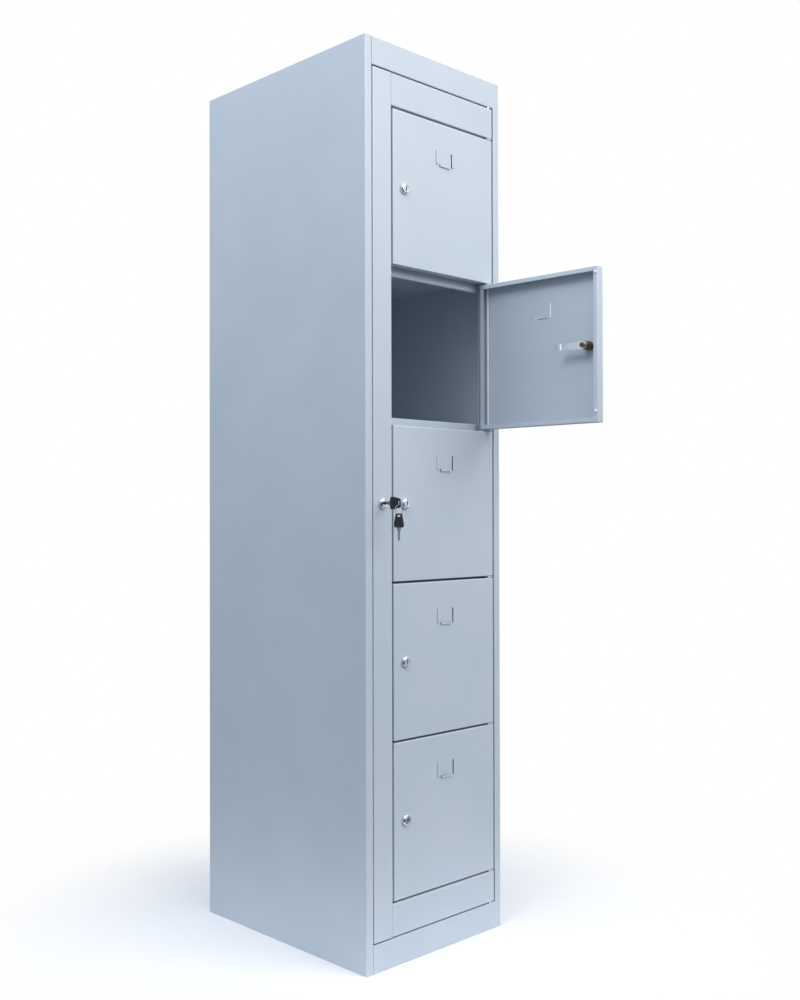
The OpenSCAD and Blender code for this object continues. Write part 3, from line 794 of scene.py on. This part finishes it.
def hex_nut(name, x, z, y0, y1, corner, bore):
    """A hexagonal nut with a bore. A 30 degree chamfer starts at the circle inside the flats, so it leaves
    an arc on each flat: the edge drops by (r - a) tan 30 where the side is r from the middle."""
    angle = np.linspace(0, 2 * np.pi, RIM_STEPS, endpoint=False)
    apothem = corner * math.cos(math.pi / 6)
    side = hexagon(angle, apothem)
    drop = (side - apothem) * math.tan(math.radians(30))
    full = np.ones_like(angle)
    shank = y1 - y0
    lead = min(0.6, shank / 4)
    rows = [((bore + lead) * full, y0 * full), (apothem * full, y0 * full),
            (side, y0 + drop), (side, y1 - drop),
            (apothem * full, y1 * full), ((bore + lead) * full, y1 * full),
            (bore * full, (y1 - lead) * full),
            (bore * full, (y0 + lead) * full), ((bore + lead) * full, y0 * full)]
    grid = np.array([[x + r * np.cos(angle), y, z + r * np.sin(angle)] for r, y in rows])
    return piece_of(name, [ringed(grid.transpose(0, 2, 1))], sharp=25.0)


def cam_plate(name, hub, length, width, end_width, y0, crank, crank_at):
    """A stamped plate along +X from its hub. Before the hub's middle its half width at s is that of a round
    end, sqrt(w^2 - s^2). It then narrows evenly to the tip, which has rounded corners. Its plane steps back
    by the crank in an S bend."""
    x, z = hub
    half, end, corner = width / 2, end_width / 2, 2.0
    tip = length - corner
    s = np.concatenate([-half * np.cos(np.radians(np.linspace(0, 90, 14))), np.linspace(2, crank_at - 2, 6),
                        np.linspace(crank_at - 1, crank_at + 2, 9), [crank_at + 4],
                        tip + corner * np.sin(np.radians(np.linspace(0, 88, 8)))])
    w = np.where(s < 0, np.sqrt(np.maximum(half ** 2 - s ** 2, 0)), half + (end - half) * s / length)
    w = np.where(s > tip, end - corner + np.sqrt(np.maximum(corner ** 2 - (s - tip) ** 2, 0)), w)
    step = crank * smoothstep((s - crank_at + 1) / 3)
    edge = 0.25
    across = np.array(rectangle(-1, 1, -1, 1))
    v = across[:, 0] * w[:, None]
    y = y0 + CAM_SHEET / 2 + step[:, None] + across[:, 1] * CAM_SHEET / 2
    grid = np.stack([np.broadcast_to(x + s[:, None], v.shape), y, z + v], -1)
    plate = piece_of(name, [ringed(grid)], [grid[-1]], sharp=30.0)
    bevel = plate.modifiers.new("edges", "BEVEL")
    bevel.width, bevel.segments, bevel.limit_method = edge * MM, 2, "ANGLE"
    bevel.angle_limit = math.radians(50)
    return plate


def stud(name, x, z, y0, y1, radius):
    """The plug's threaded end: a thread of shallow rings that ends in a chamfer and a slight dome."""
    t = np.linspace(y0, y1 - 0.5, 25)
    r = radius - 0.15 * np.abs(2 * np.mod((t - y0) / 0.7, 1) - 1)
    profile = np.vstack([[(0, y0)], np.column_stack([r, t]), [(radius - 0.7, y1 - 0.1), (0, y1)]])
    return piece_of(name, [lathed(profile, (x, 0, z), "y", SMALL_STEPS)])


# ---- Small locks ----

def cam_bolt(lock, x, z, plate_y, nut_size, proud, door=None):
    """The nut on a lock's cam, and the plug's threaded end that stands a little proud of it. Both turn with
    the small door, where the lock is on one."""
    radius, height = nut_size
    top = plate_y + CAM_SHEET
    nut = hex_nut(f"{lock}_cam_nut", x, z, top, top + height, radius, CAM_STUD)
    end = stud(f"{lock}_stud", x, z, plate_y - 1, top + height + proud, CAM_STUD)
    for piece, material in ((nut, YELLOW), (end, OXIDE)):
        if door is not None:
            at_rest(piece, door)
        finish_piece(piece, material, lock)


def small_lock(i):
    """A small door's lock: body and nut ride with the door; plug, cam and cam nut turn in it."""
    body_low, body_high = shut_box(i, "door_{}_lock_body")
    plug_low, plug_high = shut_box(i, "lock_{}_plug")
    nut_low, nut_high = shut_box(i, "door_{}_lock_nut")
    cam_low, cam_high = shut_box(i, "lock_{}_cam")
    x, z = (body_low[0] + body_high[0]) / 2, (body_low[2] + body_high[2]) / 2
    plug_radius = (plug_high[0] - plug_low[0]) / 2
    plate_y = plug_high[1] - CAM_SHEET
    length = cam_high[0] - x

    body = lock_body(f"door_{i}_lock_body", body_low, body_high, plug_radius)
    finish_piece(body, CHROME, f"door_{i}", [f"door_{i}_lock_body"])
    plated_front(body)
    at_rest(body, i)
    corner = (nut_high[0] - nut_low[0]) / 2
    nut = hex_nut(f"door_{i}_lock_nut", x, z, nut_low[1], nut_high[1], corner, lock_barrel_radius())
    finish_piece(at_rest(nut, i), YELLOW, f"door_{i}", [f"door_{i}_lock_nut"])

    plug = at_rest(lock_plug(f"lock_{i}_plug", plug_low, plug_high), i)
    finish_piece(plug, CHROME, f"lock_{i}", [f"lock_{i}_plug"])
    plate = cam_plate(f"lock_{i}_cam", (x, z), length, cam_high[2] - cam_low[2], CAM_TIP_W,
                      plate_y, CAM_CRANK, length - CAM_TIP_L)
    finish_piece(at_rest(plate, i), ZINC, f"lock_{i}", [f"lock_{i}_cam"])
    cam_bolt(f"lock_{i}", x, z, plate_y, CAM_NUT, CAM_NUT_PROUD, i)


def master_lock():
    """The master lock: the same parts, with a shorter, flat cam that points down."""
    body_low, body_high = box_mm("master_lock_body")
    plug_low, plug_high = box_mm("master_lock_plug")
    nut_low, nut_high = box_mm("master_lock_nut")
    cam_low, cam_high = box_mm("master_lock_cam")
    x, z = (body_low[0] + body_high[0]) / 2, (body_low[2] + body_high[2]) / 2
    plate_y = plug_high[1] - CAM_SHEET
    body = lock_body("master_lock_body", body_low, body_high, (plug_high[0] - plug_low[0]) / 2)
    finish_piece(body, CHROME, "master_door", ["master_lock_body"])
    plated_front(body)
    corner = (nut_high[0] - nut_low[0]) / 2
    nut = hex_nut("master_lock_nut", x, z, nut_low[1], nut_high[1], corner, lock_barrel_radius())
    finish_piece(nut, YELLOW, "master_door", ["master_lock_nut"])
    plug = lock_plug("master_lock_plug", plug_low, plug_high)
    finish_piece(plug, CHROME, "master_lock", ["master_lock_plug"])
    length = z - cam_low[2]
    plate = cam_plate("master_lock_cam", (0, 0), length, cam_high[0] - cam_low[0], MASTER_CAM_TIP_W,
                      plate_y, 0.0, length - CAM_TIP_L)
    place = Matrix.Translation(Vector((x, 0, z)) * MM)
    plate.data.transform(place @ Matrix.Rotation(math.radians(90), 4, "Y"))
    finish_piece(plate, ZINC, "master_lock", ["master_lock_cam"])
    cam_bolt("master_lock", x, z, plate_y, MASTER_CAM_NUT, MASTER_NUT_PROUD)


for i in DOORS:
    small_lock(i)
master_lock()


# ---- Keys ----

def bow(name, length, width, thickness):
    """A moulded grip in the (U, V) plane, U along the key: rounded rings that shrink to the middle.

    Ring k is the outline scaled by s. Its height is the half thickness, which falls to the end's by a smooth
    step, less a quarter-round edge near s = 1 and a shallow dish near s = 0.
    """
    grip = (length - BOW_END_L) * 0.6
    end = BOW_END_W / 2
    loop = outline([(0, -width / 2), (grip, -width / 2), (length, -end), (length, end),
                    (grip, width / 2), (0, width / 2)], [3.5, 8, 3.5, 3.5, 8, 3.5], 8)
    middle = np.array([length * 0.45, 0])
    roll = np.radians(np.linspace(0, 90, 7))
    s = np.concatenate([1 - 0.09 * (1 - np.cos(roll)), np.linspace(0.86, 0, 12)])
    rise = np.concatenate([np.sin(roll), np.ones(12)])
    points = middle + s[:, None, None] * (loop - middle)
    u = points[..., 0]
    half = thickness / 2 + (BOW_END_T - thickness) / 2 * smoothstep((u - length + BOW_END_L + 1) / 3)
    dish = 0.5 * (1 - smoothstep((s[:, None] - 0.35) / 0.35)) * (1 - smoothstep((u - 11) / 4))
    edge = 0.7
    height = half - edge * (1 - rise[:, None]) - dish
    top = np.concatenate([points, height[..., None]], -1)
    bottom = top * (1, 1, -1)
    body = piece_of(name, [ringed(np.concatenate([bottom[::-1], top]))])
    slot = outline(rectangle(length - SLOT_INSET - SLOT_W / 2, length - SLOT_INSET + SLOT_W / 2,
                             -SLOT_L / 2, SLOT_L / 2), SLOT_W / 2 - 0.01, 8)
    return carved(body, [prism("slot", slot, -thickness, thickness, "z")])


def blade(name, length):
    """A wafer key's blade along -U: a section with a groove in each face. Its half width is the shoulder's,
    then the blade's less a row of V cuts in both edges, and then a point."""
    u = np.linspace(0, length, int(length * 4) + 1)
    half = BLADE_W / 2 + (SHOULDER_W - BLADE_W) / 2 * (1 - smoothstep((u - SHOULDER_L) / 2.5))
    pitch, first = 2.6, SHOULDER_L + 5
    number = np.round((u - first) / pitch)
    depth = np.where((number >= 0) & (u < length - 3.5), 0.25 + 0.28 * np.mod(number * 2 + 1, 4), 0)
    half = half - depth * (1 - smoothstep(np.abs(u - first - number * pitch) / 1.2))
    half = np.minimum(half, 0.3 + (length - u) * 1.05)
    t = BLADE_T / 2
    groove = t - 0.5
    section = np.array([(-1, -t), (-0.62, -t), (-0.5, -groove), (-0.2, -groove), (-0.08, -t), (1, -t),
                        (1, t), (0.62, t), (0.5, groove), (0.2, groove), (0.08, t), (-1, t)])
    v = section[:, 0] * half[:, None]
    w = np.broadcast_to(section[:, 1], v.shape)
    grid = np.stack([np.broadcast_to(-u[:, None], v.shape), v, w], -1)
    return piece_of(name, [ringed(grid)], [grid[0], grid[-1]], sharp=25.0)


def split_ring(name, centre, radius):
    """Two turns of rolled spring wire: a rectangle with rounded corners carried round the circle twice. It
    changes from one plane to the other by a smooth step in the middle of its length."""
    turn = np.linspace(0.06, 4 * np.pi - 0.06, 241)
    shift = TURN_GAP * (smoothstep((turn - 2 * np.pi + 0.35) / 0.7) - 0.5)
    wire = outline(rectangle(-TURN_W / 2, TURN_W / 2, -TURN_T / 2, TURN_T / 2), TURN_CORNER, 3)
    r = radius + wire[:, 0]
    a = (turn + np.pi / 2)[:, None]
    grid = np.stack([r * np.cos(a), shift[:, None] + wire[:, 1], r * np.sin(a)], -1) + centre
    return piece_of(name, [ringed(grid)], [grid[0], grid[-1]])


def stood(piece, place, rows):
    """Moves a key piece from (U, V, thickness) to the row frame: rows are where U, V and thickness point."""
    turn = Matrix(np.array(rows, float).T.tolist()).to_4x4()
    piece.data.transform(Matrix.Translation(Vector(place) * MM) @ turn)
    piece.data.update()
    return piece


def keys():
    """The key in the master lock, the ring through its bow, and the spare key that hangs on the ring."""
    bow_low, bow_high = box_mm("master_key_bow")
    length, width, thickness = (bow_high - bow_low)[[1, 2, 0]]
    x, z = (bow_low[0] + bow_high[0]) / 2, (bow_low[2] + bow_high[2]) / 2
    forward = [(0, -1, 0), (0, 0, 1), (-1, 0, 0)]
    made = stood(bow("master_key_bow", length, width, thickness), (x, bow_high[1], z), forward)
    finish_piece(made, BLACK, "master_lock", ["master_key_bow"])
    blade_low, blade_high = box_mm("master_key_blade")
    made = stood(blade("master_key_blade", blade_high[1] - bow_high[1]), (x, bow_high[1], z), forward)
    finish_piece(made, NICKEL, "master_lock", ["master_key_blade"])

    ring_low, ring_high = box_mm("key_ring")
    radius = (ring_high[0] - ring_low[0] - RING_WIRE) / 2
    made = split_ring("key_ring", (ring_low + ring_high) / 2, radius)
    finish_piece(made, NICKEL, "ring", ["key_ring"])

    bow_low, bow_high = box_mm("spare_key_bow")
    hanging = [(0, 0, 1), (0, 1, 0), (-1, 0, 0)]
    place = ((bow_low[0] + bow_high[0]) / 2, (bow_low[1] + bow_high[1]) / 2, bow_low[2])
    made = stood(bow("spare_key_bow", length, width, thickness), place, hanging)
    finish_piece(made, BLACK, "spare_key", ["spare_key_bow"])
    blade_low, blade_high = box_mm("spare_key_blade")
    made = stood(blade("spare_key_blade", blade_high[2] - blade_low[2]), place, hanging)
    finish_piece(made, NICKEL, "spare_key", ["spare_key_blade"])


keys()

# CAD nodes that keep their shape
KEPT = {PAINT: ("side_panel_left", "side_panel_right", "back_panel", "roof_panel", "base_pan", "shelf_1",
                "shelf_2", "shelf_3", "shelf_4", "master_hinge_stile", "door_pivot_lugs"),
        ZINC: ("master_pivot_pins",)}
for material, names in KEPT.items():
    for name in names:
        frame["nodes"][name].data.materials.clear()
        frame["nodes"][name].data.materials.append(material)


# ---- Floor, light and camera ----

def light_table():
    """White acrylic lit from below: a matt floor that glows a little and fades into the room's white. It
    fades close round the locker, so little light comes back up from it."""
    made, tree, shader, place = surface("lit_white_acrylic", "#F1F2F3", 0.7)
    toned(tree, shader, noise(tree, place, 400, 2.0), "#EFF0F1", "#F3F4F5")
    shader.inputs["Emission Color"].default_value = colour("#FFFFFF")
    shader.inputs["Emission Strength"].default_value = FLOOR_GLOW
    out = add(tree, "ShaderNodeVectorMath", {0: place}, operation="LENGTH").outputs["Value"]
    fade = ramp(tree, out, *FLOOR_FADE, interpolation_type="SMOOTHSTEP")
    clear = add(tree, "ShaderNodeBsdfTransparent")
    both = add(tree, "ShaderNodeMixShader", {0: fade, 1: shader.outputs[0], 2: clear.outputs[0]})
    tree.links.new(both.outputs[0], tree.nodes["Material Output"].inputs["Surface"])
    return made


def studio_floor():
    """A wide pale floor."""
    loop = circle(0, 0, FLOOR_RADIUS, RIM_STEPS)
    flat = np.column_stack([loop, np.full(len(loop), FLOOR)])
    floor = piece_of("studio_floor", [], [flat])
    if floor.data.polygons[0].normal.z < 0:
        floor.data.flip_normals()
    floor.data.materials.append(light_table())


def softbox(name, place, target, width, height, watts, tint="#FFFFFF"):
    """A rectangular lamp that faces a point. Places are in metres."""
    light = bpy.data.lights.new(name, "AREA")
    light.shape, light.size, light.size_y = "RECTANGLE", width, height
    light.energy, light.color = watts, colour(tint)[:3]
    lamp = bpy.data.objects.new(name, light)
    bpy.context.scene.collection.objects.link(lamp)
    lamp.location = place
    lamp.rotation_euler = (Vector(target) - Vector(place)).to_track_quat("-Z", "Y").to_euler()


def studio_light():
    """An even white room, dimmer low down, with softboxes before the doors, at the side and above."""
    world = bpy.data.worlds.new("studio_room")
    bpy.context.scene.world = world
    world.use_nodes = True
    tree = world.node_tree
    tree.nodes.clear()
    direction = add(tree, "ShaderNodeTexCoord").outputs["Generated"]
    height = add(tree, "ShaderNodeSeparateXYZ", {"Vector": direction}).outputs["Z"]
    even = ramp(tree, height, -0.1, 0.9, 0.28, 0.7)
    # White screens stand round the locker. Metal shows them, and they add little to the light on it.
    screens = ramp(tree, height, -0.35, -0.02, 0.12, 0.95)
    # One corner of the room is unlit, which draws a dark crescent on each chromed rosette.
    corner = add(tree, "ShaderNodeVectorMath", {0: direction, 1: UNLIT_CORNER}, operation="DOT_PRODUCT")
    unlit = ramp(tree, corner.outputs["Value"], 0.6, 0.85, 1.0, 0.08)
    mirrored = add(tree, "ShaderNodeMath", {0: screens, 1: unlit}, operation="MULTIPLY").outputs[0]
    path = add(tree, "ShaderNodeLightPath").outputs
    inputs = {0: path["Is Glossy Ray"], 2: even, 3: mirrored}
    strength = add(tree, "ShaderNodeMix", inputs, data_type="FLOAT")
    room = add(tree, "ShaderNodeBackground", {"Color": colour("#E8F1FF"), "Strength": strength.outputs[0]})
    seen = add(tree, "ShaderNodeBackground", {"Color": colour("#FFFFFF"), "Strength": 1.0})
    inputs = {0: path["Is Camera Ray"], 1: room.outputs[0], 2: seen.outputs[0]}
    both = add(tree, "ShaderNodeMixShader", inputs)
    add(tree, "ShaderNodeOutputWorld", {"Surface": both.outputs[0]})
    softbox("key_softbox", (0.8, -2.8, 2.7), (0, -0.25, 1.2), 2.4, 1.8, 64, "#FFFAF4")
    softbox("side_softbox", (-1.9, -0.25, 3.1), (-0.2, 0, 1.9), 1.6, 1.2, 37, "#F3F6FB")
    softbox("top_softbox", (-0.6, -1.6, 4.0), (0, 0, 0.4), 3.0, 3.0, 34)


def camera():
    """A viewer's place: level with the middle of the locker, turned 44.5 degrees to its front."""
    yaw, pitch, roll = (math.radians(a) for a in CAMERA_TURN)
    forward = Vector((math.sin(yaw) * math.cos(pitch), math.cos(yaw) * math.cos(pitch), math.sin(pitch)))
    right = Vector((math.cos(yaw), -math.sin(yaw), 0))
    up = right.cross(forward)
    tilted_right = math.cos(roll) * right + math.sin(roll) * up
    tilted_up = math.cos(roll) * up - math.sin(roll) * right
    data = bpy.data.cameras.new("camera")
    data.lens, data.sensor_width = CAMERA_LENS, SENSOR_W
    data.clip_start, data.clip_end = 0.05, 60.0
    made = bpy.data.objects.new("camera", data)
    bpy.context.scene.collection.objects.link(made)
    turn = Matrix((tilted_right, tilted_up, -forward)).transposed().to_4x4()
    made.matrix_world = Matrix.Translation(CAMERA_PLACE) @ turn
    bpy.context.scene.camera = made


studio_floor()
studio_light()
camera()
bpy.context.scene.view_settings.view_transform = "Standard"
